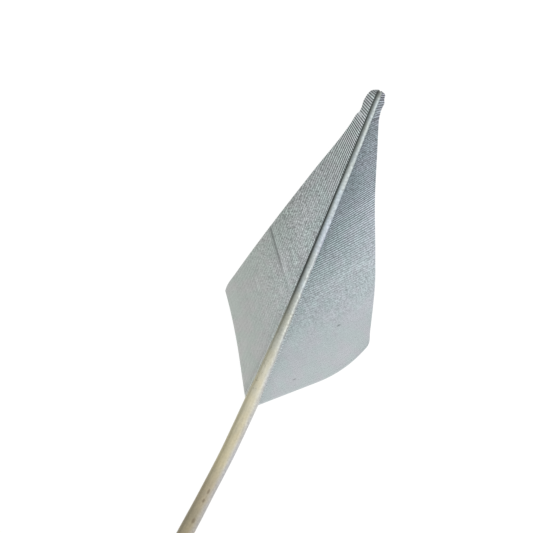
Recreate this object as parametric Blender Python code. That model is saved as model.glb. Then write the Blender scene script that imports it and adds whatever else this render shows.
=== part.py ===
"""A turkey quill feather, its vanes trimmed to a kite and its shaft stripped bare below them.

Metres, +Z up. The feather lies on its underside with the shaft along Y and the tip at +Y, so the
smooth upper side faces up. It touches z = 0 at the two corners of the kite and near the quill's
end, and the origin is at the middle of the bottom of its box. While it is built, a place along
the feather is its distance from the tip towards the quill's end, and sideways is +X to the right.
"""

import bisect
import math

import bmesh
import bpy

MM = 0.001


def in_metres(points):
    """A list of (distance, value) pairs given in millimetres."""
    return [(distance * MM, value * MM) for distance, value in points]


def in_radians(points):
    """A list of (distance in millimetres, degrees) pairs."""
    return [(distance * MM, math.radians(degrees)) for distance, degrees in points]


# Lengths along the feather, from the tip
FEATHER_LENGTH = 250 * MM
VANE_START = -0.1 * MM
VANE_END = 104.5 * MM
CORNER_PLACE = 75 * MM

# The shaft: its width, its sideways bow and how high its underside is carried
SHAFT_WIDTH = in_metres([(-0.5, 1.0), (0, 1.7), (4, 1.9), (34, 2.5), (78, 3.3), (97, 4.1), (106, 4.7),
                         (135, 4.7), (150, 5.0), (205, 4.9), (235, 4.3), (247, 3.3), (250, 1.9)])
SHAFT_SIDE = in_metres([(0, 0.75), (34, 1.6), (78, 2.35), (97, 2.45), (119, 2.0), (137, 0.8),
                        (147, 0.0), (250, -10.2)])
SHAFT_UNDERSIDE = in_metres([(0, 0.6), (40, 2.4), (95, 3.4), (150, 2.9), (210, 0.7), (236, 0.0),
                             (250, 0.5)])
DOME_SHARE = 0.46          # height of the shaft above the vanes, as a share of its width
KEEL_SHARE = 0.68          # depth of the shaft below the vanes
ROUND_SHARE = 0.5          # both, where the shaft is the round hollow quill
ROUND_FROM = 150 * MM
GROOVE_DEPTH = 0.35 * MM   # the furrow along the underside, which fades out below the vanes
GROOVE_END = 125 * MM
GROOVE_HALF_WIDTH = 0.3    # as a share of the shaft's half width
ROOT_HALF_THICKNESS = 0.35 * MM   # half the thickness of a vane where it leaves the shaft
FLANK_SHARE = 0.4          # that half is never more than this share of the dome
TOP_SIDES = 8
BOTTOM_SIDES = 10
BARE_STEP = 6.5 * MM       # between cross-sections of the bare shaft
END_ROUNDING = (5 * MM, 3 * MM, 1.5 * MM, 0.6 * MM, 0.0)   # sections before the end of the quill
DIMPLE_WIDTH = 0.9 * MM    # the small hollow in the end of the quill
DIMPLE_DEPTH = 2.5 * MM

# The trimmed outline: how far it lies to the left and to the right of the line x = 0
LEFT_TRIM = in_metres([(-0.7, 0.0), (0, 1.4), (0.7, 2.1), (2.5, 2.65), (4.5, 2.85), (6.5, 2.6), (7.9, 2.7),
                       (9, 3.25), (12.5, 3.75), (31, 8.65), (53, 14.3), (70, 18.2), (74.5, 19.05),
                       (76, 18.95), (78, 17.9), (88, 11.0), (105, 0.8)])
RIGHT_TRIM = in_metres([(-0.7, 1.0), (-0.3, 2.3), (0, 2.7), (1.2, 2.9), (2.7, 3.5), (4.4, 3.4), (7.5, 3.85),
                        (10.6, 4.9), (15.6, 6.8), (31, 12.6), (46, 19.2), (56, 23.4), (70, 27.8),
                        (73.5, 28.85), (76, 28.6), (80, 27.3), (91, 20.5), (105, 8.0)])

# The barbs: the angle from the shaft at which they leave it, how long they run straight, and how
# fast they bend towards the tip after that
LEFT_ANGLE = in_radians([(-0.5, 70), (3, 62), (7, 56), (12, 52), (18, 48), (30, 43), (45, 41), (80, 40),
                         (104.5, 31.5)])
RIGHT_ANGLE = in_radians([(-0.5, 70), (2, 64), (4.5, 56), (8, 47), (13, 40), (20, 36), (40, 36), (60, 41),
                          (75, 43), (104.5, 45.5)])
LEFT_STRAIGHT = in_metres([(0, 0), (80, 0), (104.5, 12)])
RIGHT_STRAIGHT = in_metres([(0, 0), (70, 0), (104.5, 20)])
LEFT_BEND = in_radians([(0, 80), (80, 80), (104.5, -330)])
RIGHT_BEND = in_radians([(0, 100), (70, 160), (85, 350), (104.5, 1500)])

# The vanes: locks of barbs that meet in valleys, and droop from the shaft to the corners
LOCKS = 34
LOCK_CROWDING = 1.2        # above 1 the locks are narrower towards the tip
LOCK_SEGMENTS = 7
LOCK_RIDGE = 0.14 * MM     # how far ridges rise above the skin and valleys sink below it
RIDGE_RAMP = 0.5           # share of a barb's length over which the ridges reach full height
UNDER_VALLEY_SHARE = 0.7   # valleys underneath go no deeper than this share of half the thickness
EDGE_HALF_THICKNESS = 0.25 * MM
THINNING = 0.33            # share of a barb's length over which the vane thins to that
DROOP_STRAIGHT = 0.65      # the share of the droop that is a straight slope and not a curve
SPLIT_ROOT = 68 * MM       # where the seam between two left locks leaves the shaft
SPLIT_DEPTH = 0.1 * MM
SHORTEST_BARB = 0.3 * MM
TRIM_STEP = 0.5 * MM       # step of the search for where a barb meets the trimmed outline
TRIM_HALVINGS = 12

FEATHER_COLOUR = (0.37, 0.40, 0.40, 1.0)
FEATHER_ROUGHNESS = 0.6

LEFT, RIGHT = -1, 1


def curve(points, at):
    """The value at a distance, on a smooth curve that passes through the points without overshoot."""
    distances = [distance for distance, _ in points]
    at = min(max(at, distances[0]), distances[-1])
    start = min(bisect.bisect_right(distances, at), len(points) - 1) - 1
    chords = [(b[1] - a[1]) / (b[0] - a[0]) for a, b in zip(points, points[1:])]

    def slope(index):
        before, after = chords[max(index - 1, 0)], chords[min(index, len(chords) - 1)]
        return 2 * before * after / (before + after) if before * after > 0 else 0.0

    span = points[start + 1][0] - points[start][0]
    part = (at - points[start][0]) / span
    rise = points[start + 1][1] - points[start][1]
    first, last = slope(start) * span, slope(start + 1) * span
    bend = (3 * rise - 2 * first - last) * part ** 2 + (first + last - 2 * rise) * part ** 3
    return points[start][1] + first * part + bend


def roundness(place):
    """0 where the shaft is ridged above and grooved below, 1 where it is the round quill."""
    part = min(max((place - VANE_END) / (ROUND_FROM - VANE_END), 0.0), 1.0)
    return part * part * (3 - 2 * part)


def shaft_heights(place):
    """How far the shaft rises above the level of the vanes, and how far it reaches below it."""
    width = curve(SHAFT_WIDTH, place)
    blend = roundness(place)
    dome = width * (DOME_SHARE + (ROUND_SHARE - DOME_SHARE) * blend)
    keel = width * (KEEL_SHARE + (ROUND_SHARE - KEEL_SHARE) * blend)
    return dome, keel


def vane_level(place):
    """Height at which the vanes leave the shaft."""
    return curve(SHAFT_UNDERSIDE, place) + shaft_heights(place)[1]


def ring_points(place):
    """One cross-section: over the top from right to left, then under the bottom and back."""
    half = curve(SHAFT_WIDTH, place) / 2
    middle = curve(SHAFT_SIDE, place)
    level = vane_level(place)
    dome, keel = shaft_heights(place)
    flank = min(ROOT_HALF_THICKNESS, FLANK_SHARE * dome)
    fade = min(max((GROOVE_END - place) / (GROOVE_END - VANE_END), 0.0), 1.0)
    points = []
    for step in range(TOP_SIDES + 1):
        turn = math.pi * step / TOP_SIDES
        points.append((middle + half * math.cos(turn), level + flank + (dome - flank) * math.sin(turn)))
    for step in range(BOTTOM_SIDES + 1):
        turn = math.pi * (1 + step / BOTTOM_SIDES)
        across = math.cos(turn)
        furrow = fade * GROOVE_DEPTH * math.exp(-(across / GROOVE_HALF_WIDTH) ** 2)
        points.append((middle + half * across, level - flank + (keel - flank) * math.sin(turn) + furrow))
    return points


def add_ring(mesh, place, shrink_to=None, set_back=0.0):
    """Vertices of one cross-section; shrink_to is a smaller width, for the hollow in the end."""
    points = ring_points(place)
    middle = curve(SHAFT_SIDE, place)
    height = sum(z for _, z in points) / len(points)
    share = shrink_to / curve(SHAFT_WIDTH, place) if shrink_to else 1.0
    return [mesh.verts.new((middle + (x - middle) * share, set_back - place, height + (z - height) * share))
            for x, z in points]


def barb_place(side, root, along):
    """Where the barb that leaves the shaft at root is, at a length along it: (x, place)."""
    angles, straights, bends = (
        (LEFT_ANGLE, LEFT_STRAIGHT, LEFT_BEND) if side == LEFT else
        (RIGHT_ANGLE, RIGHT_STRAIGHT, RIGHT_BEND))
    angle = curve(angles, root)
    straight = min(along, curve(straights, root))
    half_turn = curve(bends, root) * (along - straight) / 2
    chord = (along - straight) * (math.sin(half_turn) / half_turn if half_turn else 1.0)
    out = straight * math.sin(angle) + chord * math.sin(angle - half_turn)
    forward = straight * math.cos(angle) + chord * math.cos(angle - half_turn)
    start = curve(SHAFT_SIDE, root) + side * curve(SHAFT_WIDTH, root) / 2
    return start + side * out, root - forward


def inside_trim(side, x, place):
    """True while a barb is still inside the trimmed outline."""
    trim = LEFT_TRIM if side == LEFT else RIGHT_TRIM
    return place > trim[0][0] and side * x < curve(trim, place)


def barb_length(side, root):
    """Length of a barb from the shaft to the trimmed outline."""
    length = TRIM_STEP
    while inside_trim(side, *barb_place(side, root, length)):
        length += TRIM_STEP
    low, high = length - TRIM_STEP, length
    for _ in range(TRIM_HALVINGS):
        middle = (low + high) / 2
        if inside_trim(side, *barb_place(side, root, middle)):
            low = middle
        else:
            high = middle
    return max(low, SHORTEST_BARB)


def droop(side, x, place):
    """How far the vane has dropped below its level at the shaft, at the point (x, place)."""
    trim = LEFT_TRIM if side == LEFT else RIGHT_TRIM
    corner_side, corner_half = curve(SHAFT_SIDE, CORNER_PLACE), curve(SHAFT_WIDTH, CORNER_PLACE) / 2
    reach = curve(trim, CORNER_PLACE) - side * corner_side - corner_half
    drop = vane_level(CORNER_PLACE) - EDGE_HALF_THICKNESS - LOCK_RIDGE
    away = side * (x - curve(SHAFT_SIDE, place)) - curve(SHAFT_WIDTH, place) / 2
    share = max(away, 0.0) / reach
    return drop * (DROOP_STRAIGHT * share + (1 - DROOP_STRAIGHT) * share * share)


def lock_roots():
    """Places along the shaft of the valleys (even) and ridges (odd) of the locks."""
    count = 2 * LOCKS
    return [VANE_START + (VANE_END - VANE_START) * (index / count) ** LOCK_CROWDING
            for index in range(count + 1)]


def add_vane(mesh, side, roots, rings):
    """One vane, grown out of the shaft: a top and a bottom skin whose roots are ring vertices."""
    split = min(range(0, len(roots), 2), key=lambda index: abs(roots[index] - SPLIT_ROOT))
    top_root, bottom_root = (TOP_SIDES, TOP_SIDES + 1) if side == LEFT else (0, -1)
    tops, bottoms = [], []
    for index, root in enumerate(roots):
        length = barb_length(side, root)
        relief = LOCK_RIDGE if index % 2 else -LOCK_RIDGE
        if side == LEFT and index == split:
            relief -= SPLIT_DEPTH
        top, bottom = [rings[index][top_root]], [rings[index][bottom_root]]
        for segment in range(1, LOCK_SEGMENTS + 1):
            share = segment / LOCK_SEGMENTS
            x, place = barb_place(side, root, length * share)
            thinned = min(share / THINNING, 1)
            half = ROOT_HALF_THICKNESS + (EDGE_HALF_THICKNESS - ROOT_HALF_THICKNESS) * thinned
            rise = relief * min(share / RIDGE_RAMP, 1)
            level = vane_level(place) - droop(side, x, place)
            top.append(mesh.verts.new((x, -place, level + half + rise)))
            bottom.append(mesh.verts.new((x, -place, level - half - max(rise, -UNDER_VALLEY_SHARE * half))))
        tops.append(top)
        bottoms.append(bottom)
    for index in range(len(roots) - 1):
        for skin in (tops, bottoms):
            for a, b, c, d in zip(skin[index], skin[index][1:], skin[index + 1][1:], skin[index + 1]):
                mesh.faces.new((a, b, c, d))
        mesh.faces.new((tops[index][-1], bottoms[index][-1], bottoms[index + 1][-1], tops[index + 1][-1]))
    for index in (0, -1):
        top, bottom = tops[index], bottoms[index]
        for a, b, c, d in zip(top, top[1:], bottom[1:], bottom):
            mesh.faces.new((a, b, c, d))


def add_shaft(mesh, roots):
    """The shaft from tip to quill end. Returns its rings at the lock roots, which the vanes share."""
    bare_length = FEATHER_LENGTH - END_ROUNDING[0] - VANE_END
    bare_count = round(bare_length / BARE_STEP)
    bare = [VANE_END + bare_length * step / bare_count for step in range(1, bare_count)]
    rounded_end = [FEATHER_LENGTH - back for back in END_ROUNDING]
    tip = [add_ring(mesh, SHAFT_WIDTH[0][0]), add_ring(mesh, SHAFT_WIDTH[0][0] / 2)]
    vaned = [add_ring(mesh, root) for root in roots]
    quill = [add_ring(mesh, place) for place in bare + rounded_end]
    dimple = [add_ring(mesh, FEATHER_LENGTH, DIMPLE_WIDTH),
              add_ring(mesh, FEATHER_LENGTH, DIMPLE_WIDTH / 2, DIMPLE_DEPTH)]
    rings = tip + vaned + quill + dimple
    sides = len(rings[0])
    vane_sides = (TOP_SIDES, sides - 1)
    first_vaned, last_vaned = len(tip), len(tip) + len(vaned) - 1
    for index, (ring, following) in enumerate(zip(rings, rings[1:])):
        under_vane = first_vaned <= index < last_vaned
        for side in range(sides):
            if under_vane and side in vane_sides:
                continue
            after = (side + 1) % sides
            mesh.faces.new((ring[side], ring[after], following[after], following[side]))
    mesh.faces.new(rings[0])
    mesh.faces.new(rings[-1])
    return vaned


def settle(mesh):
    """Moves the feather so that its box stands on z = 0 with its middle on the Z axis."""
    lows = [min(vertex.co[axis] for vertex in mesh.verts) for axis in range(3)]
    highs = [max(vertex.co[axis] for vertex in mesh.verts) for axis in range(3)]
    shift = (-(lows[0] + highs[0]) / 2, -(lows[1] + highs[1]) / 2, -lows[2])
    bmesh.ops.translate(mesh, verts=mesh.verts, vec=shift)


def feather_material():
    """Pale grey dyed keratin."""
    material = bpy.data.materials.new("grey_feather")
    material.use_nodes = True
    shader = material.node_tree.nodes["Principled BSDF"]
    shader.inputs["Base Color"].default_value = FEATHER_COLOUR
    shader.inputs["Roughness"].default_value = FEATHER_ROUGHNESS
    shader.inputs["Metallic"].default_value = 0.0
    return material


def build_feather():
    """The whole feather, which grew as one piece."""
    mesh = bmesh.new()
    roots = lock_roots()
    rings = add_shaft(mesh, roots)
    for side in (LEFT, RIGHT):
        add_vane(mesh, side, roots, rings)
    bmesh.ops.recalc_face_normals(mesh, faces=mesh.faces)
    settle(mesh)
    data = bpy.data.meshes.new("feather")
    mesh.to_mesh(data)
    mesh.free()
    data.materials.append(feather_material())
    feather = bpy.data.objects.new("feather", data)
    bpy.context.collection.objects.link(feather)
    return feather


def main():
    for thing in list(bpy.data.objects):
        bpy.data.objects.remove(thing)
    build_feather()


main()
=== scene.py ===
"""The look of a turkey quill feather: every barb of both vanes, the shaft, and their finish.

Metres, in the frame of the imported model: the shaft runs along Y with the tip at +Y, and the smooth
upper side faces +Z. A place along the feather is its distance from the tip towards the quill's end.
x runs sideways, and is 0 on the straight line from the tip that the sizes were taken from.
"""

import math

import bpy
import numpy as np
from mathutils import Matrix, Vector


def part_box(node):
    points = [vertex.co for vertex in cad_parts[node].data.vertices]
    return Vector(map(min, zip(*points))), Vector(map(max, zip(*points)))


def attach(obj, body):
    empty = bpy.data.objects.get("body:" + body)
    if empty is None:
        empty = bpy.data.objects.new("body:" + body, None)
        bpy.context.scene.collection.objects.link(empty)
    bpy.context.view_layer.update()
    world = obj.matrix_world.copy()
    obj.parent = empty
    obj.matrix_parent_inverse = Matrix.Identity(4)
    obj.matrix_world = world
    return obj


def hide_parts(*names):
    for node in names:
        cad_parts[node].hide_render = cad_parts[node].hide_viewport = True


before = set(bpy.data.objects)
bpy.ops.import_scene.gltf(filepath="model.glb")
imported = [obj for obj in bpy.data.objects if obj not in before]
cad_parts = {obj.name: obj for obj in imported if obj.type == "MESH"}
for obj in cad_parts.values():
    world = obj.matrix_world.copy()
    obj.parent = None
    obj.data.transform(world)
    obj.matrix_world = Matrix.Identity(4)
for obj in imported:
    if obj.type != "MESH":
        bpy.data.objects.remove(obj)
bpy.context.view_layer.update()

MM = 0.001
LEFT, RIGHT = -1, 1


def in_metres(points):
    """Pairs of a place and a length in millimetres, in metres."""
    return [(distance * MM, value * MM) for distance, value in points]


def in_radians(points):
    """Pairs of a place in millimetres and an angle in degrees, in metres and radians."""
    return [(distance * MM, math.radians(degrees)) for distance, degrees in points]


def along_feather(points):
    """Pairs of a place in millimetres and a plain number, with the place in metres."""
    return [(distance * MM, value) for distance, value in points]


def colours_at(*stops):
    """Stops of a colour ramp, from a position, red, green and blue each."""
    return [(position, (red, green, blue, 1)) for position, red, green, blue in stops]


# The solid's sizes, which the pieces here follow, most of them by the place along the feather. Only
# the left vane's barbs near the tip stand wider than in the solid.
FEATHER_LENGTH = 250 * MM
TIP_OVERHANG = 0.5 * MM    # how far the shaft reaches past place 0
RIGHT_REACH = 28.83 * MM   # x of the rightmost point
VANE_END = 104.5 * MM
CORNER_PLACE = 75 * MM     # about where both vanes are widest
SHAFT_WIDTH = in_metres([(-0.5, 1.0), (0, 1.7), (4, 1.9), (34, 2.5), (78, 3.3), (97, 4.1), (106, 4.7),
                         (135, 4.7), (150, 5.0), (205, 4.9), (235, 4.3), (247, 3.3), (250, 1.9)])
SHAFT_SIDE = in_metres([(0, 0.75), (34, 1.6), (78, 2.35), (97, 2.45), (119, 2.0), (137, 0.8), (147, 0.0),
                        (250, -10.2)])
SHAFT_UNDERSIDE = in_metres([(0, 0.6), (40, 2.4), (95, 3.4), (150, 2.9), (210, 0.7), (236, 0.0),
                             (250, 0.5)])
DOME_SHARE, KEEL_SHARE = 0.46, 0.68   # how far it reaches above and below the vanes, over its width
ROUND_SHARE = 0.5          # the same for both on the bare quill
ROUND_FROM = 150 * MM
GROOVE_DEPTH = 0.35 * MM   # of the furrow underneath
GROOVE_END = 125 * MM
GROOVE_HALF_WIDTH = 0.3    # over half the shaft's width
FLANK = 0.35 * MM          # half the height of its upright sides
FLANK_SHARE = 0.4          # at most this share of the dome
# How far the outline is from x = 0
LEFT_TRIM = in_metres([(-0.7, 0.0), (0, 1.4), (0.7, 2.1), (2.5, 2.65), (4.5, 2.85), (6.5, 2.6),
                       (7.9, 2.7), (9, 3.25), (12.5, 3.75), (31, 8.65), (53, 14.3), (70, 18.2),
                       (74.5, 19.05), (76, 18.95), (78, 17.9), (88, 11.0), (105, 0.8)])
RIGHT_TRIM = in_metres([(-0.7, 1.0), (-0.3, 2.3), (0, 2.7), (1.2, 2.9), (2.7, 3.5), (4.4, 3.4),
                        (7.5, 3.85), (10.6, 4.9), (15.6, 6.8), (31, 12.6), (46, 19.2), (56, 23.4),
                        (70, 27.8), (73.5, 28.85), (76, 28.6), (80, 27.3), (91, 20.5), (105, 8.0)])
# A barb's angle from the shaft, the length that it runs straight, and how far it turns past that in
# degrees per metre, by the place of its root
LEFT_ANGLE = in_radians([(-0.5, 76), (3, 71), (7, 66), (12, 60), (18, 51), (30, 43), (45, 41), (80, 40),
                         (104.5, 31.5)])
RIGHT_ANGLE = in_radians([(-0.5, 70), (2, 64), (4.5, 56), (8, 47), (13, 40), (20, 36), (40, 36), (60, 41),
                          (75, 43), (104.5, 45.5)])
LEFT_STRAIGHT = in_metres([(0, 0), (80, 0), (104.5, 12)])
RIGHT_STRAIGHT = in_metres([(0, 0), (70, 0), (104.5, 20)])
LEFT_BEND = in_radians([(0, 80), (80, 80), (104.5, -330)])
RIGHT_BEND = in_radians([(0, 100), (70, 160), (85, 350), (104.5, 1500)])
VANE_UNDER = 0.39 * MM     # how far the solid reaches below the vane's middle at its corners
DROOP_STRAIGHT = 0.65      # share of the droop that grows evenly; the rest grows with the square

# The barbs
FIRST_BARB = -0.45 * MM
LEFT_LAST, RIGHT_LAST = 103.75 * MM, 104.2 * MM   # whose lower wings end where the solid's vanes do
LEFT_PITCH = in_metres([(-0.5, 0.3), (1.5, 0.85), (105, 0.85)])    # along the shaft, by place
RIGHT_PITCH = in_metres([(-0.5, 0.3), (1.5, 0.93), (105, 0.93)])
BARB_STEP = 0.45 * MM      # between the cross-sections of a barb
TRACE_STEP = 0.1 * MM      # between the points of the path that those are read from
PAST_TRIM = 4 * MM         # how far a path is traced past the outline before it is cut
BARB_OVERLAP = 1.3         # width of a barb's two wings over the distance to the next barb
CREST_HEIGHT = 0.08 * MM
KEEL_DEPTH = 0.22 * MM
KEEL_HALF_WIDTH = 0.045 * MM
WING_THICKNESS = 0.03 * MM
WING_DROP_BACK = 0.09 * MM   # the wing towards the quill lies under its neighbour
WING_DROP_FRONT = 0.02 * MM  # the wing towards the tip lies over it
SHOULDER = 0.1 * CREST_HEIGHT
UNDER = SHOULDER - 1.5 * WING_THICKNESS
# Points of its cross-section: across in wing widths, across in metres on top of that, and height
SECTION = ((-1, 0, -WING_DROP_BACK), (-0.3, 0, SHOULDER), (0, 0, CREST_HEIGHT), (0.3, 0, SHOULDER),
           (1, 0, -WING_DROP_FRONT), (1, 0, -WING_DROP_FRONT - WING_THICKNESS), (0.3, 0, UNDER),
           (0, KEEL_HALF_WIDTH, -KEEL_DEPTH), (0, -KEEL_HALF_WIDTH, -KEEL_DEPTH), (-0.3, 0, UNDER),
           (-1, 0, -WING_DROP_BACK - WING_THICKNESS))
FEWEST_STEPS = 3
ROOT_INSET = 0.35 * MM     # how deep a barb is rooted in the shaft
RISE_RUN = 3 * MM          # distance from the shaft over which a barb rises or drops from its level
TURN_JITTER = math.radians(0.05)   # spread of the chance differences in angle, height and shade
RISE_JITTER = 0.005 * MM
TONE_JITTER = 0.015
LEFT_RUFFLE = along_feather([(0, 10), (14, 8), (22, 1), (70, 1), (85, 0.4)])   # how these grow, by place
RIGHT_RUFFLE = along_feather([(0, 30), (7, 30), (16, 2), (70, 1), (85, 0.4)])
RUFFLE_TONE = 8            # at most this much for the tone
SEED = 7
VANE_CREASE = math.radians(50)   # edges that turn by more are drawn sharp

# How much darker a barb's edges, painted shade between the barbs, are than its crest, a painted sheen, and
# how strong its grain is, by its root's place
LEFT_STRIPES = along_feather([(0, 0.75), (7, 0.78), (12, 0.95), (16, 1.0), (24, 1.0), (34, 0.7),
                              (46, 0.35), (70, 0.2), (80, 0.08), (105, 0.02)])
RIGHT_STRIPES = along_feather([(0, 0.85), (8, 0.45), (12, 0.33), (20, 0.33), (28, 0.38), (36, 0.58),
                               (42, 0.75), (54, 0.7), (64, 0.42), (72, 0.2), (82, 0.05), (105, 0.01)])
RIGHT_STRIPES_FADE = 0.6   # share lost from the shaft to the outline, past the place where it begins
FADE_FROM = (40 * MM, 55 * MM)
# Share of the right vane's stripes kept beside the shaft, and where along a barb they come back in full
RIGHT_NEAR = along_feather([(0, 1.0), (26, 1.0), (31, 0.3), (40, 0.3), (42, 1.0), (45, 1.0), (47.5, 0.35),
                            (53, 0.35), (56, 1.0), (61, 1.0), (65, 0.6), (80, 0.6), (105, 1.0)])
NEAR_SHAFT = (1.2 * MM, 3.2 * MM)
LEFT_GRAIN = along_feather([(0, 0.3), (22, 0.6), (34, 1.1), (50, 1.4), (66, 1.1), (77, 0.75), (85, 0.4),
                            (94, 0.15), (105, 0.08)])
RIGHT_GRAIN = along_feather([(0, 1.0), (18, 1.35), (30, 1.35), (42, 0.8), (60, 0.9), (72, 0.9),
                             (80, 0.65), (88, 0.25), (96, 0.08), (105, 0.04)])

# Seams where the barbs don't join: side, root, width in barbs, where it begins and ends on the way
# from the shaft (0) to the outline (1), and how much lighter or darker it is, as painted light and shade
# where the barbs part and step
SEAMS = [(LEFT, 10.2 * MM, 0.58, 0.6, 1.4, 0.8),
         (LEFT, 70.0 * MM, 1.0, 0.4, 1.05, -0.42), (LEFT, 68.7 * MM, 0.6, 0.12, 0.97, 0.36),
         (LEFT, 83.0 * MM, 0.5, 0.5, 0.8, -0.1), (LEFT, 83.9 * MM, 0.5, 0.54, 0.7, 0.26),
         (LEFT, 84.8 * MM, 0.5, 0.5, 0.8, -0.14)]
SEAM_SMOOTH = 1.5          # share of the stripes and grain lost on a seam, over its change of light
SEAM_SOFT = 0.25           # over its length, how softly it begins and ends
SPLIT_ROOT = 69.3 * MM     # the barbs below this one lie lower
SPLIT_DROP = 0.07 * MM
SPLIT_FADE = 1.8 * MM      # distance over which they rise again

# The bare roots of the barbs beside the shaft: how much lighter, how long, how striped. On the left the
# lightening is painted light that lifts the shaft's shade off the vane; on the right the roots are pale of
# their own
LEFT_ROOT_PAINTED_LIGHT = along_feather([(0, 0.4), (60, 0.4), (80, 0.55), (105, 0.55)])
LEFT_ROOT_LENGTH = 1.5 * MM
RIGHT_ROOT_LENGTH = in_metres([(25, 0.9), (50, 0.9), (66, 0.55), (105, 0.55)])
RIGHT_ROOT_FULL = 0.5      # share of that length before it fades
RIGHT_ROOT_STRIPE = along_feather([(60, 0.0), (66, 0.4), (74, 0.2), (84, 0.1), (105, 0.05)])
RIGHT_ROOT_LIGHT = along_feather([(25, 0.0), (40, 0.12), (56, 0.14), (66, 0.45), (76, 0.48), (86, 0.45),
                                  (96, 0.32), (105, 0.15)])

# The shaft
RING_STEP = 0.9 * MM
TOP_SIDES = 28
BOTTOM_SIDES = 20
END_RINGS = (2, 1.4, 0.9, 0.5, 0.2, 0)   # millimetres before the quill's end
SHAFT_CREASE = math.radians(60)

# The vanes' colours beside the shaft and at the outline, by the place of a barb's root over VANE_END
# Their grey is their own; the changes in lightness from shaft to outline and between the vanes are partly
# painted shading from the vanes' slope
LEFT_INNER = colours_at((0.0, 0.17, 0.19, 0.19), (0.02, 0.25, 0.28, 0.28), (0.25, 0.28, 0.31, 0.31),
                        (0.4, 0.32, 0.355, 0.36), (0.5, 0.365, 0.405, 0.405), (0.62, 0.36, 0.395, 0.395),
                        (0.8, 0.37, 0.395, 0.385), (1.0, 0.395, 0.42, 0.395))
LEFT_OUTER = colours_at((0.0, 0.17, 0.19, 0.19), (0.02, 0.23, 0.25, 0.25), (0.25, 0.265, 0.29, 0.285),
                        (0.4, 0.265, 0.29, 0.285), (0.62, 0.27, 0.295, 0.28), (0.8, 0.345, 0.37, 0.35),
                        (1.0, 0.4, 0.42, 0.4))
RIGHT_INNER = colours_at((0.0, 0.22, 0.24, 0.26), (0.02, 0.2, 0.23, 0.25), (0.1, 0.2, 0.23, 0.25),
                         (0.2, 0.18, 0.21, 0.235), (0.36, 0.185, 0.225, 0.245), (0.5, 0.2, 0.25, 0.26),
                         (0.7, 0.31, 0.36, 0.37), (0.85, 0.37, 0.41, 0.42), (1.0, 0.42, 0.455, 0.465))
RIGHT_OUTER = colours_at((0.0, 0.26, 0.28, 0.31), (0.02, 0.23, 0.25, 0.28), (0.2, 0.245, 0.285, 0.31),
                         (0.36, 0.27, 0.31, 0.34), (0.5, 0.355, 0.395, 0.43), (0.7, 0.41, 0.45, 0.475),
                         (1.0, 0.42, 0.45, 0.46))
VANE_ROUGHNESS, SHAFT_ROUGHNESS = 0.62, 0.38
NOISE_DETAIL = 2.0
MOTTLE_SPAN = (-0.15, 0.15)   # the noise between whose values the cool tint becomes the warm one
MOTTLE_SCALE = 230.0
MOTTLE_COOL, MOTTLE_WARM = (0.97, 1.008, 0.997, 1), (1.025, 0.99, 1.015, 1)
STRIPE_EDGE, STRIPE_SOFT = 0.42, 0.12   # where a barb's light crest ends, in wing widths
STRIPE_LIGHT, STRIPE_DARK = 0.9, -0.9   # and how far its colour departs from the tint: a painted sheen on the crest, painted shade at the edges
SPECK_SCALE = 1900.0
SPECK_DEPTH = 1.6
STREAKS_ACROSS, STREAKS_ALONG = 45.0, 0.12
STREAK_DEPTH = 0.25
CLOUD_SCALE = 300.0
CLOUD_DEPTH = 0.1
BARBULE_WAVES, BARBULE_SWEEP = 52.0, 9.0   # radians per millimetre of barb, and across a wing
BARBULE_STRENGTH, BARBULE_HEIGHT = 0.3, 0.03 * MM
MARK_FADE = (0.5, 1.3)   # where a small mark fades, over its half width and half length

# The shaft's colours on the left and right, by place over its length, and its painted shading across
SHAFT_LEFT = colours_at((0.0, 0.22, 0.24, 0.23), (0.012, 0.45, 0.5, 0.5), (0.09, 0.48, 0.535, 0.54),
                        (0.13, 0.515, 0.575, 0.585), (0.2, 0.475, 0.525, 0.545),
                        (0.24, 0.45, 0.495, 0.49), (0.31, 0.5, 0.51, 0.44), (0.39, 0.56, 0.53, 0.41),
                        (0.49, 0.495, 0.445, 0.3), (0.55, 0.355, 0.305, 0.21), (0.58, 0.3, 0.26, 0.17),
                        (1.0, 0.31, 0.27, 0.18))
# The right colours are partly painted light: cooler and lighter where the shaft's right side catches the
# light
SHAFT_RIGHT = colours_at((0.0, 0.3, 0.33, 0.33), (0.012, 0.45, 0.5, 0.5), (0.09, 0.435, 0.485, 0.495),
                         (0.15, 0.42, 0.47, 0.49), (0.2, 0.455, 0.485, 0.535), (0.24, 0.445, 0.49, 0.51),
                         (0.31, 0.485, 0.51, 0.485), (0.39, 0.48, 0.485, 0.455),
                         (0.49, 0.445, 0.435, 0.415), (0.55, 0.4, 0.38, 0.345), (0.58, 0.37, 0.35, 0.31),
                         (1.0, 0.37, 0.34, 0.29))
# The painted shading: a painted shadow on the left flank and in the crease by the left vane, a painted
# highlight right of the middle, painted shade at the right rim
TIP_PAINTED_SHADING = colours_at((0.0, 0.4, 0.4, 0.4), (0.07, 0.03, 0.045, 0.04), (0.17, 0.055, 0.075, 0.065),
                       (0.28, 0.27, 0.28, 0.27), (0.42, 0.4, 0.41, 0.4), (0.55, 0.7, 0.71, 0.71),
                       (0.72, 1, 1, 1), (0.88, 0.86, 0.88, 0.89), (1.0, 0.5, 0.52, 0.54))
VANE_PAINTED_SHADING = colours_at((0.0, 0.4, 0.4, 0.4), (0.07, 0.01, 0.02, 0.015), (0.16, 0.01, 0.02, 0.015),
                        (0.26, 0.28, 0.3, 0.29), (0.4, 0.62, 0.63, 0.63), (0.55, 0.87, 0.88, 0.9),
                        (0.76, 1, 1, 1), (0.88, 0.9, 0.91, 0.93), (1.0, 0.5, 0.52, 0.56))
BARE_PAINTED_SHADING = colours_at((0.0, 0.75, 0.75, 0.7), (0.12, 0.63, 0.63, 0.57), (0.3, 0.85, 0.85, 0.82),
                        (0.5, 0.96, 0.96, 0.96), (0.7, 1, 1, 1), (1.0, 0.86, 0.86, 0.9))
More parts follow.
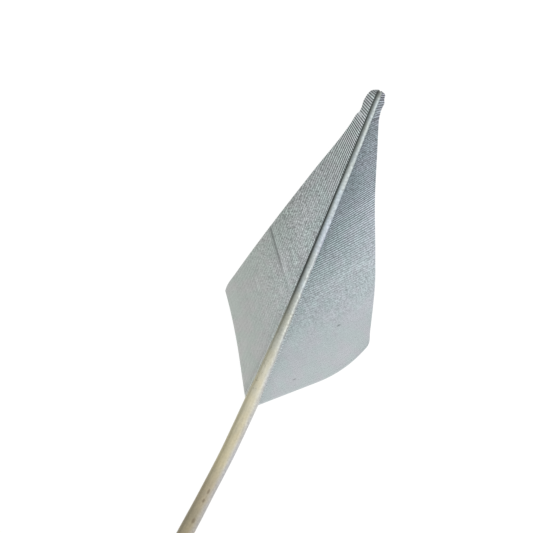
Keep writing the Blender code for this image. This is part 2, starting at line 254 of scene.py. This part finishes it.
RIGHT_FROM = (0.55, 0.95)      # across, between which the left colours become the right ones
TIP_TO_VANE = (0.07, 0.13)     # places over its length between which one shade becomes the next
VANE_TO_BARE = (0.235, 0.385)
STRAND_STRETCH, STRAND_SCALE, STRAND_DEPTH = 0.12, 2200.0, 0.35
SHAFT_SPECK_SCALE, SHAFT_SPECK_DEPTH, RIM_SPECK_DEPTH = 1500.0, 0.8, 1.6
RIM_SPECKS = (0.6, 0.85)       # across, between which the one depth becomes the other
SPECKS_FADE, SPECKS_KEPT = (0.3, 0.4), 0.4
# Light and dark bands along it, the first a painted highlight along the shaft: across from, strongest and
# to; places from, full, fading and to; change
SHAFT_GLINT_AND_BANDS = [(0.6, 0.7, 0.82, 0.16, 0.24, 0.3, 0.36, 0.17),
               (0.77, 0.88, 1.0, 0.19, 0.25, 0.32, 0.38, -0.28),
               (0.64, 0.75, 0.85, 0.1, 0.13, 0.17, 0.2, -0.13),
               (0.05, 0.4, 1.0, 0.225, 0.29, 0.32, 0.38, -0.17)]
SHAFT_MOTTLE_SCALE = 180.0
SHAFT_COOL, SHAFT_WARM = (0.985, 1.0, 1.035, 1), (1.015, 1.0, 0.965, 1)
FLECK_SCALE, FLECK_DEPTH = 1500.0, 0.45
FLECK_SPAN = (0.08, 0.2)       # the noise between whose values a dark fleck shows
FLECKS_ACROSS = (0.35, 0.6)
FLECKS_BEGIN, FLECKS_END = (0.24, 0.29), (0.38, 0.44)
SHAFT_SPOTS = [(1.2 * MM, 135.7 * MM, 1.8 * MM, 0.8 * MM), (0.9 * MM, 138.9 * MM, 1.5 * MM, 0.8 * MM),
               (0.5 * MM, 145.9 * MM, 2.0 * MM, 1.1 * MM)]   # x, place, length and width
SPOT_COLOUR = (0.12, 0.085, 0.045, 1)
SPOT_STRENGTH = 0.55
SPOT_LEAN = math.radians(-6)

# Small dark marks on the right vane: x, place, length, width, lean from the shaft's line, light kept
RIGHT_MARKS = [(17.9 * MM, 71.9 * MM, 1.6 * MM, 0.5 * MM, math.radians(-38), 0.58),
               (11.9 * MM, 92.9 * MM, 1.3 * MM, 0.5 * MM, math.radians(-45), 0.68)]

# The floor and the light
FLOOR_SIZE = 6
FLOOR_COLOUR = (0.1, 0.1, 0.1, 1)
FLOOR_ROUGHNESS = 0.9
FLOOR_GLOW = 0.92
WHITE = (1, 1, 1, 1)
ROOM_STRENGTH = 1.0
KEY_PLACE = (0.9, 0.35, 0.8)
KEY_SIZE = 0.6
KEY_ENERGY = 4

# The camera: where the photo's frame lies over the feather, which it looks straight down on
PIXELS = 533                    # along each side of the photo
PIXELS_PER_METRE = 3200.0
TIP_PIXEL = (377.5, 91.5)
SHAFT_RUN = (-0.3973, 0.9177)   # direction in the picture from the tip to the quill, x right and y down
LENS = 1000.0
SENSOR = 36.0

# Where place 0 and x = 0 are in the model
high_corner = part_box("feather")[1]
ORIGIN_X = high_corner.x - RIGHT_REACH
TIP_Y = high_corner.y - TIP_OVERHANG


def curve(points, at):
    """Values at distances, on a smooth curve that passes through the points without overshoot."""
    distances = np.array([point[0] for point in points])
    values = np.array([point[1] for point in points])
    at = np.clip(np.asarray(at, float), distances[0], distances[-1])
    start = np.clip(np.searchsorted(distances, at, side="right") - 1, 0, len(points) - 2)
    chords = np.diff(values) / np.diff(distances)
    before = np.concatenate((chords[:1], chords))
    after = np.concatenate((chords, chords[-1:]))
    together = before * after > 0
    slopes = np.where(together, 2 * before * after / np.where(together, before + after, 1), 0)
    span = distances[start + 1] - distances[start]
    part = (at - distances[start]) / span
    rise = values[start + 1] - values[start]
    first, last = slopes[start] * span, slopes[start + 1] * span
    bend = (3 * rise - 2 * first - last) * part ** 2 + (first + last - 2 * rise) * part ** 3
    return values[start] + first * part + bend


def smooth_step(value, low, high):
    """0 below low, 1 above high, and an even rise between."""
    part = np.clip((np.asarray(value, float) - low) / (high - low), 0, 1)
    return part * part * (3 - 2 * part)


def in_row_frame(x, place, height):
    """Points of the row frame from sideways distances, places along the feather and heights."""
    x, place, height = np.broadcast_arrays(x, place, height)
    return np.stack((ORIGIN_X + x, TIP_Y - place, height), axis=-1)


def shaft_heights(place):
    """How far the shaft rises above the level of the vanes, and how far it reaches below it."""
    width = curve(SHAFT_WIDTH, place)
    blend = smooth_step(place, VANE_END, ROUND_FROM)
    dome = width * (DOME_SHARE + (ROUND_SHARE - DOME_SHARE) * blend)
    keel = width * (KEEL_SHARE + (ROUND_SHARE - KEEL_SHARE) * blend)
    return dome, keel


def vane_level(place):
    """Height at which the vanes leave the shaft."""
    return curve(SHAFT_UNDERSIDE, place) + shaft_heights(place)[1]


def droop(side, x, place):
    """How far the vane has dropped below its level at the shaft, at the point (x, place)."""
    trim = LEFT_TRIM if side == LEFT else RIGHT_TRIM
    corner_half = curve(SHAFT_WIDTH, CORNER_PLACE) / 2
    reach = curve(trim, CORNER_PLACE) - side * curve(SHAFT_SIDE, CORNER_PLACE) - corner_half
    drop = vane_level(CORNER_PLACE) - VANE_UNDER
    away = side * (x - curve(SHAFT_SIDE, place)) - curve(SHAFT_WIDTH, place) / 2
    share = np.maximum(away, 0) / reach
    return drop * (DROOP_STRAIGHT * share + (1 - DROOP_STRAIGHT) * share ** 2)


def barb_path(side, root, along, turn=0.0):
    """Where the barb that leaves the shaft at root is, at lengths along it: (x, place)."""
    angles, straights, bends = (
        (LEFT_ANGLE, LEFT_STRAIGHT, LEFT_BEND) if side == LEFT else
        (RIGHT_ANGLE, RIGHT_STRAIGHT, RIGHT_BEND))
    angle = curve(angles, root) + turn
    straight = np.minimum(along, curve(straights, root))
    half_turn = curve(bends, root) * (along - straight) / 2
    chord = (along - straight) * np.sinc(half_turn / np.pi)
    out = straight * np.sin(angle) + chord * np.sin(angle - half_turn)
    forward = straight * np.cos(angle) + chord * np.cos(angle - half_turn)
    start = curve(SHAFT_SIDE, root) + side * curve(SHAFT_WIDTH, root) / 2
    return start + side * out, root - forward


def trim_excess(side, x, place):
    """How far points lie outside the trimmed outline; negative inside it."""
    trim = LEFT_TRIM if side == LEFT else RIGHT_TRIM
    return np.maximum(side * x - curve(trim, place), trim[0][0] - place)


def first_crossing(along, excess):
    """The length along a path at which it first leaves the outline."""
    outside = np.argmax(excess > 0)
    if outside == 0:
        return along[0] + TRACE_STEP
    before, after = excess[outside - 1], excess[outside]
    return along[outside - 1] + (along[outside] - along[outside - 1]) * before / (before - after)


def new_mesh(name, points, faces, attributes, sharp_angle):
    """A mesh object with a number at each point for every attribute, and smooth but for sharp edges."""
    data = bpy.data.meshes.new(name)
    data.from_pydata(points.tolist(), [], faces)
    for title, values in attributes.items():
        data.attributes.new(title, "FLOAT", "POINT").data.foreach_set("value", values.astype(np.float32))
    data.shade_smooth()
    data.set_sharp_from_angle(angle=sharp_angle)
    data.validate()
    piece = bpy.data.objects.new(name, data)
    bpy.context.scene.collection.objects.link(piece)
    return piece


def tube_faces(first, rings, sides):
    """Faces of a closed tube of rings, each of the same number of points, with both ends capped."""
    faces = [tuple(first + sides - 1 - side for side in range(sides))]
    for ring in range(rings - 1):
        here, there = first + ring * sides, first + (ring + 1) * sides
        for side in range(sides):
            after = (side + 1) % sides
            faces.append((here + side, here + after, there + after, there + side))
    last = first + (rings - 1) * sides
    faces.append(tuple(last + side for side in range(sides)))
    return faces


def unit(vectors):
    """The same directions at length 1."""
    return vectors / np.linalg.norm(vectors, axis=1)[:, None]


def barb_rings(side, root, pitch, turn, rise):
    """Cross-sections of one barb, each point of which runs to the outline, and the path's lengths."""
    longest = curve(LEFT_TRIM if side == LEFT else RIGHT_TRIM, CORNER_PLACE) * 2 + PAST_TRIM
    along = np.arange(-ROOT_INSET, longest, TRACE_STEP)
    x, place = barb_path(side, root, along, turn)
    next_x, next_place = barb_path(side, root + pitch, along)
    level = vane_level(place) - droop(side, x, place) + rise * smooth_step(along, 0, RISE_RUN)
    centre = in_row_frame(x, place, level)
    forward = unit(np.gradient(centre, axis=0))
    tilt = (droop(side, x + side * MM, place) - droop(side, x, place)) / MM
    up = np.stack((side * tilt, 0 * tilt, 1 + 0 * tilt), axis=-1)
    up = unit(up - forward * (up * forward).sum(1)[:, None])
    tipward = np.cross(forward, up) * -side
    gap = np.abs(((in_row_frame(next_x, next_place, level) - centre) * tipward).sum(1))
    wing = 0.5 * gap * BARB_OVERLAP
    length = max(first_crossing(along, trim_excess(side, x, place)), TRACE_STEP)
    steps = max(math.ceil((length + ROOT_INSET) / BARB_STEP), FEWEST_STEPS)
    shares = np.linspace(0, 1, steps + 1)
    columns = []
    for across, beside, height in SECTION:
        path = centre + tipward * (across * wing + beside)[:, None] + up * height
        excess = trim_excess(side, path[:, 0] - ORIGIN_X, TIP_Y - path[:, 1])
        end = max(first_crossing(along, excess), TRACE_STEP)
        at = -ROOT_INSET + shares * (end + ROOT_INSET)
        columns.append(np.stack([np.interp(at, along, path[:, axis]) for axis in range(3)], axis=-1))
    return np.stack(columns, axis=1), -ROOT_INSET + shares * (length + ROOT_INSET)


def painted_seam_change(side, root, pitch, reach):
    """The painted light and shade along a seam: how much lighter or darker than its neighbours a barb is
    there.
    """
    change = 0 * reach
    for seam_side, seam_root, barbs, first, last, painted_seam_light in SEAMS:
        if side == seam_side:
            near = math.exp(-((root - seam_root) / (barbs * pitch)) ** 2)
            soft = SEAM_SOFT * (last - first)
            window = smooth_step(reach, first - soft, first + soft)
            window = window * (1 - smooth_step(reach, last - soft, last + soft))
            change = change + painted_seam_light * near * window
    return change


def barb_roots(pitches, last_root):
    """Where the barbs leave the shaft, from the first to the last, about a pitch apart."""
    roots = [FIRST_BARB]
    while roots[-1] < last_root:
        roots.append(roots[-1] + float(curve(pitches, roots[-1])))
    roots = np.array(roots)
    return FIRST_BARB + (roots - FIRST_BARB) * (last_root - FIRST_BARB) / (roots[-1] - FIRST_BARB)


def barb_marks(side, root, pitch, tone, rings, along):
    """The numbers stored at the points of a barb, which its material reads."""
    stripes, grain, trim = ((LEFT_STRIPES, LEFT_GRAIN, LEFT_TRIM) if side == LEFT else
                            (RIGHT_STRIPES, RIGHT_GRAIN, RIGHT_TRIM))
    x, place = rings[:, :, 0] - ORIGIN_X, TIP_Y - rings[:, :, 1]
    middle = curve(SHAFT_SIDE, place)
    reach = np.clip(side * (x - middle) / np.maximum(curve(trim, place) - side * middle, MM), 0, 1)
    # painted light and shade along the seams
    painted_seam_light = painted_seam_change(side, root, pitch, reach)
    plain = 1 - np.minimum(np.abs(painted_seam_light) * SEAM_SMOOTH, 1)
    stripe = curve(stripes, root) * plain
    if side == LEFT:
        # on the left, painted light that lifts the shaft's shade off the vane
        light = curve(LEFT_ROOT_PAINTED_LIGHT, root) * (1 - smooth_step(along, 0, LEFT_ROOT_LENGTH))[:, None]
    else:
        length = curve(RIGHT_ROOT_LENGTH, root)
        bare = (1 - smooth_step(along, RIGHT_ROOT_FULL * length, length))[:, None]
        light = curve(RIGHT_ROOT_LIGHT, root) * bare
        near = (1 - curve(RIGHT_NEAR, root)) * (1 - smooth_step(along, *NEAR_SHAFT))[:, None]
        stripe = stripe * (1 - RIGHT_STRIPES_FADE * smooth_step(root, *FADE_FROM) * reach) * (1 - near)
        stripe = np.maximum(stripe, curve(RIGHT_ROOT_STRIPE, root) * bare)
    # shade holds each barb's chance tone, its lighter root, and the painted light and shade of the seams
    return {"root": root / VANE_END + 0 * reach, "reach": reach,
            "across": np.broadcast_to([point[0] for point in SECTION], reach.shape),
            "along": np.repeat(along / MM, len(SECTION)),
            "shade": tone * (1 + light) * (1 + painted_seam_light), "stripe": stripe,
            "grain": curve(grain, root) * plain}


def build_vane(side, name):
    """One vane: each barb is a ramus with a wing of barbules on either side, cut at the outline."""
    chance = np.random.default_rng(SEED + side)
    pitches, last_root, ruffles = ((LEFT_PITCH, LEFT_LAST, LEFT_RUFFLE) if side == LEFT else
                                   (RIGHT_PITCH, RIGHT_LAST, RIGHT_RUFFLE))
    points, faces, marks, count = [], [], {}, 0
    for root in barb_roots(pitches, last_root):
        pitch, ruffle = curve(pitches, root), curve(ruffles, root)
        turn, rise = chance.normal(0, ruffle * TURN_JITTER), chance.normal(0, ruffle * RISE_JITTER)
        tone = chance.normal(1, min(ruffle, RUFFLE_TONE) * TONE_JITTER)
        if side == LEFT and root > SPLIT_ROOT:
            rise = rise - SPLIT_DROP * math.exp(-(root - SPLIT_ROOT) / SPLIT_FADE)
        rings, along = barb_rings(side, root, pitch, turn, rise)
        points.append(rings.reshape(-1, 3))
        faces += tube_faces(count, len(rings), len(SECTION))
        count += len(rings) * len(SECTION)
        for title, values in barb_marks(side, root, pitch, tone, rings, along).items():
            marks.setdefault(title, []).append(np.ravel(values))
    attributes = {title: np.concatenate(values) for title, values in marks.items()}
    return new_mesh(name, np.concatenate(points), faces, attributes, VANE_CREASE)


def shaft_section(place):
    """The shaft's cross-section, over the top from right to left, then underneath, as x, height and
    the share of half its width from the middle."""
    half = curve(SHAFT_WIDTH, place) / 2
    middle = curve(SHAFT_SIDE, place)
    level = vane_level(place)
    dome, keel = shaft_heights(place)
    flank = min(FLANK, FLANK_SHARE * dome)
    fade = float(np.clip((GROOVE_END - place) / (GROOVE_END - VANE_END), 0, 1))
    over = np.pi * np.arange(TOP_SIDES + 1) / TOP_SIDES
    under = np.pi * (1 + np.arange(BOTTOM_SIDES + 1) / BOTTOM_SIDES)
    furrow = fade * GROOVE_DEPTH * np.exp(-(np.cos(under) / GROOVE_HALF_WIDTH) ** 2)
    across = np.concatenate((np.cos(over), np.cos(under)))
    height = np.concatenate((level + flank + (dome - flank) * np.sin(over),
                             level - flank + (keel - flank) * np.sin(under) + furrow))
    return middle + half * across, height, across


def build_shaft():
    """The shaft from its cut tip to the closed end of the quill."""
    places = list(np.linspace(-TIP_OVERHANG, 0, 3))
    places += list(np.arange(TIP_OVERHANG, FEATHER_LENGTH - END_RINGS[0] * MM, RING_STEP))
    places += [FEATHER_LENGTH - back * MM for back in END_RINGS]
    points, across_marks, place_marks = [], [], []
    for place in places:
        x, height, across = shaft_section(place)
        points.append(in_row_frame(x, place, height))
        across_marks.append(across)
        place_marks.append(0 * x + place / FEATHER_LENGTH)
    faces = [face[::-1] for face in tube_faces(0, len(places), len(points[0]))]
    attributes = {"place": np.concatenate(place_marks), "across": np.concatenate(across_marks)}
    return new_mesh("shaft", np.concatenate(points), faces, attributes, SHAFT_CREASE)


def node(tree, kind, inputs=None, **settings):
    """A shader node with its settings; an input is a plain value or another node's output."""
    made = tree.nodes.new(kind)
    for name, value in settings.items():
        setattr(made, name, value)
    for name, value in (inputs or {}).items():
        if isinstance(value, bpy.types.NodeSocket):
            tree.links.new(value, made.inputs[name])
        else:
            made.inputs[name].default_value = value
    return made


def number(tree, operation, *values):
    """A Math node's output."""
    return node(tree, "ShaderNodeMath", dict(enumerate(values)), operation=operation).outputs[0]


def mark(tree, title):
    """One of the numbers stored at each point of the mesh."""
    return node(tree, "ShaderNodeAttribute", attribute_name=title).outputs["Fac"]


def ramp(tree, factor, stops):
    """A smooth colour ramp through (position, colour) stops."""
    made = node(tree, "ShaderNodeValToRGB", {"Fac": factor})
    made.color_ramp.interpolation = "EASE"
    elements = made.color_ramp.elements
    while len(elements) < len(stops):
        elements.new(0.5)
    for element, (position, colour) in zip(elements, stops):
        element.position = position
        element.color = colour
    return made.outputs["Color"]


def blend(tree, kind, factor, first, second):
    """Two colours mixed, multiplied or added."""
    made = node(tree, "ShaderNodeMix", {0: factor, 6: first, 7: second}, data_type="RGBA", blend_type=kind)
    return made.outputs[2]


def ease(tree, value, low, high, start=0.0, end=1.0):
    """From start below low to end above high, with an even rise between."""
    return node(tree, "ShaderNodeMapRange", {"Value": value, "From Min": low, "From Max": high,
                                             "To Min": start, "To Max": end},
                interpolation_type="SMOOTHSTEP").outputs["Result"]


def noise(tree, where, scale):
    """Soft noise about 0, at a scale per metre of the given coordinates."""
    made = node(tree, "ShaderNodeTexNoise", {"Vector": where, "Scale": scale, "Detail": NOISE_DETAIL})
    return number(tree, "SUBTRACT", made.outputs["Fac"], 0.5)


def times(tree, first, second):
    """Two numbers multiplied."""
    return number(tree, "MULTIPLY", first, second)


def mottled(tree, colour, where, scale, cool, warm):
    """A colour that drifts between a cooler and a warmer tint."""
    hue = ease(tree, noise(tree, where, scale), *MOTTLE_SPAN)
    return blend(tree, "MULTIPLY", 1.0, colour, blend(tree, "MIX", hue, cool, warm))


def lit(tree, colour, light):
    """A colour times a number."""
    grey = node(tree, "ShaderNodeCombineColor", {0: light, 1: light, 2: light}).outputs[0]
    return blend(tree, "MULTIPLY", 1.0, colour, grey)


def spot(tree, x, place, length, width, lean):
    """1 inside a small long patch on the upper side, 0 outside; lean turns it from the shaft's line."""
    where = node(tree, "ShaderNodeTexCoord").outputs["Object"]
    local = node(tree, "ShaderNodeMapping", {
        "Vector": where, "Location": (ORIGIN_X + x, TIP_Y - place, 0),
        "Rotation": (0, 0, lean), "Scale": (width / 2, length / 2, 1)}, vector_type="TEXTURE").outputs[0]
    away = node(tree, "ShaderNodeVectorMath", {0: local}, operation="LENGTH").outputs["Value"]
    return ease(tree, away, *MARK_FADE, 1.0, 0.0)


def principled(name, roughness):
    """A new material and its Principled shader."""
    material = bpy.data.materials.new(name)
    material.use_nodes = True
    shader = material.node_tree.nodes["Principled BSDF"]
    shader.inputs["Roughness"].default_value = roughness
    return material, material.node_tree, shader


def vane_material(name, near_shaft, near_edge, patches=()):
    """Grey barbs: a tint by root and reach that partly paints the vanes' shading, painted shade on the
    edges and a painted sheen on the crests where the vane is striped, grain and streaks.

    patches are small marks: x, place, length, width, lean and the share of light that they keep.
    """
    material, tree, shader = principled(name, VANE_ROUGHNESS)
    root, reach, across, along = (mark(tree, title) for title in ("root", "reach", "across", "along"))
    side = number(tree, "ABSOLUTE", across)
    tint = blend(tree, "MIX", reach, ramp(tree, root, near_shaft), ramp(tree, root, near_edge))
    where = node(tree, "ShaderNodeTexCoord").outputs["Object"]
    tint = mottled(tree, tint, where, MOTTLE_SCALE, MOTTLE_COOL, MOTTLE_WARM)
    # painted sheen on each barb's crest and painted shade at its edges
    painted_stripe = ease(tree, side, STRIPE_EDGE - STRIPE_SOFT, STRIPE_EDGE + STRIPE_SOFT,
                 STRIPE_LIGHT, STRIPE_DARK)
    light = number(tree, "MULTIPLY_ADD", painted_stripe, mark(tree, "stripe"), 1.0)
    strand = node(tree, "ShaderNodeCombineXYZ", {0: times(tree, root, STREAKS_ACROSS),
                                                 1: times(tree, along, STREAKS_ALONG)}).outputs[0]
    rough = number(tree, "MULTIPLY_ADD", noise(tree, where, SPECK_SCALE), SPECK_DEPTH,
                   times(tree, noise(tree, strand, 1.0), STREAK_DEPTH))
    rough = number(tree, "MULTIPLY_ADD", rough, mark(tree, "grain"),
                   number(tree, "MULTIPLY_ADD", noise(tree, where, CLOUD_SCALE), CLOUD_DEPTH, 1.0))
    light = times(tree, times(tree, light, rough), mark(tree, "shade"))
    for x, place, length, width, lean, kept in patches:
        patch = spot(tree, x, place, length, width, lean)
        light = times(tree, light, number(tree, "MULTIPLY_ADD", patch, kept - 1, 1.0))
    tree.links.new(lit(tree, tint, light), shader.inputs["Base Color"])
    wave = number(tree, "SINE", number(tree, "MULTIPLY_ADD", along, BARBULE_WAVES,
                                       times(tree, side, BARBULE_SWEEP)))
    bump = node(tree, "ShaderNodeBump", {"Height": wave, "Strength": BARBULE_STRENGTH,
                                         "Distance": BARBULE_HEIGHT})
    tree.links.new(bump.outputs["Normal"], shader.inputs["Normal"])
    return material


def shaft_material():
    """Keratin: grey beside the vanes, bone coloured below them, with painted shading across: a painted
    shadow on the left flank and a painted highlight to the right.
    """
    material, tree, shader = principled("shaft_keratin", SHAFT_ROUGHNESS)
    place = mark(tree, "place")
    across = number(tree, "MULTIPLY_ADD", mark(tree, "across"), 0.5, 0.5)   # 0 at the left, 1 at the right
    right = ease(tree, across, *RIGHT_FROM)
    body = blend(tree, "MIX", right, ramp(tree, place, SHAFT_LEFT), ramp(tree, place, SHAFT_RIGHT))
    tip, middle, bare = (ramp(tree, across, stops) for stops in (TIP_PAINTED_SHADING, VANE_PAINTED_SHADING, BARE_PAINTED_SHADING))
    shade = blend(tree, "MIX", ease(tree, place, *TIP_TO_VANE), tip, middle)
    shade = blend(tree, "MIX", ease(tree, place, *VANE_TO_BARE), shade, bare)
    # painted shading across the shaft: the left flank shadowed, the right side lit
    body = blend(tree, "MULTIPLY", 1.0, body, shade)
    where = node(tree, "ShaderNodeTexCoord").outputs["Object"]
    body = mottled(tree, body, where, SHAFT_MOTTLE_SCALE, SHAFT_COOL, SHAFT_WARM)
    strand = node(tree, "ShaderNodeMapping", {"Vector": where,
                                              "Scale": (1.0, STRAND_STRETCH, 1.0)}).outputs[0]
    grain = number(tree, "MULTIPLY_ADD", noise(tree, strand, STRAND_SCALE), STRAND_DEPTH, 1.0)
    specks = times(tree, noise(tree, where, SHAFT_SPECK_SCALE),
                   ease(tree, place, *SPECKS_FADE, 1.0, SPECKS_KEPT))
    depth = ease(tree, across, *RIM_SPECKS, SHAFT_SPECK_DEPTH, RIM_SPECK_DEPTH)
    grain = number(tree, "MULTIPLY_ADD", specks, depth, grain)
    # the first band is a painted highlight along the shaft; the others darken it
    for low, peak, high, begin, full, fade, end, change in SHAFT_GLINT_AND_BANDS:
        band = times(tree, ease(tree, across, low, peak), ease(tree, across, peak, high, 1.0, 0.0))
        band = times(tree, band, ease(tree, place, begin, full))
        band = times(tree, band, ease(tree, place, fade, end, 1.0, 0.0))
        grain = times(tree, grain, number(tree, "MULTIPLY_ADD", band, change, 1.0))
    fleck = ease(tree, noise(tree, where, FLECK_SCALE), *FLECK_SPAN)
    fleck = times(tree, fleck, times(tree, ease(tree, place, *FLECKS_BEGIN),
                                     ease(tree, place, *FLECKS_END, 1.0, 0.0)))
    fleck = times(tree, fleck, ease(tree, across, *FLECKS_ACROSS, 1.0, 0.0))
    grain = times(tree, grain, number(tree, "MULTIPLY_ADD", fleck, -FLECK_DEPTH, 1.0))
    body = lit(tree, body, grain)
    for x, at, length, width in SHAFT_SPOTS:
        amount = times(tree, spot(tree, x, at, length, width, SPOT_LEAN), SPOT_STRENGTH)
        body = blend(tree, "MIX", amount, body, SPOT_COLOUR)
    tree.links.new(body, shader.inputs["Base Color"])
    return material


def dress(piece, material):
    """Gives a piece its material, and sets it on the feather's body in place of the plain solid."""
    piece.data.materials.append(material)
    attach(piece, "root")
    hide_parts("feather")


def build_floor():
    """A plain white floor with a glow of its own, which leaves no shadow, as in the photo."""
    material, tree, shader = principled("floor", FLOOR_ROUGHNESS)
    shader.inputs["Base Color"].default_value = FLOOR_COLOUR
    shader.inputs["Emission Color"].default_value = WHITE
    shader.inputs["Emission Strength"].default_value = FLOOR_GLOW
    bpy.ops.mesh.primitive_plane_add(size=FLOOR_SIZE, location=(0, 0, 0))
    floor = bpy.context.object
    floor.name = "floor"
    floor.data.materials.append(material)


def build_light():
    """An even white room and one large soft light from the right of the picture."""
    world = bpy.data.worlds.new("studio")
    bpy.context.scene.world = world
    world.use_nodes = True
    background = world.node_tree.nodes["Background"]
    background.inputs["Color"].default_value = WHITE
    background.inputs["Strength"].default_value = ROOM_STRENGTH
    data = bpy.data.lights.new("key", "AREA")
    data.shape = "DISK"
    data.size = KEY_SIZE
    data.energy = KEY_ENERGY
    key = bpy.data.objects.new("key", data)
    turn = Vector(KEY_PLACE).to_track_quat("Z", "Y").to_matrix().to_4x4()
    key.matrix_world = Matrix.Translation(KEY_PLACE) @ turn
    bpy.context.scene.collection.objects.link(key)


def build_camera():
    """A long lens straight above, turned so that the shaft leans as in the photo."""
    run_x, run_y = SHAFT_RUN
    from_tip = [PIXELS / 2 - pixel for pixel in TIP_PIXEL]
    place = (from_tip[0] * run_x + from_tip[1] * run_y) / PIXELS_PER_METRE
    x = (from_tip[0] * run_y - from_tip[1] * run_x) / PIXELS_PER_METRE
    field = PIXELS / PIXELS_PER_METRE
    aim = Vector((ORIGIN_X + x, TIP_Y - place, vane_level(CORNER_PLACE)))
    right, up = Vector((run_y, -run_x, 0)), Vector((run_x, run_y, 0))
    data = bpy.data.cameras.new("camera")
    data.lens = LENS
    data.sensor_width = SENSOR
    camera = bpy.data.objects.new("camera", data)
    turn = Matrix((right, up, right.cross(up))).transposed().to_4x4()
    camera.matrix_world = Matrix.Translation(aim + Vector((0, 0, field * LENS / SENSOR))) @ turn
    bpy.context.scene.collection.objects.link(camera)
    bpy.context.scene.camera = camera


dress(build_shaft(), shaft_material())
dress(build_vane(LEFT, "left_vane"), vane_material("left_barbs", LEFT_INNER, LEFT_OUTER))
dress(build_vane(RIGHT, "right_vane"), vane_material("right_barbs", RIGHT_INNER, RIGHT_OUTER, RIGHT_MARKS))
build_floor()
build_light()
build_camera()
bpy.context.scene.view_settings.view_transform = "Standard"
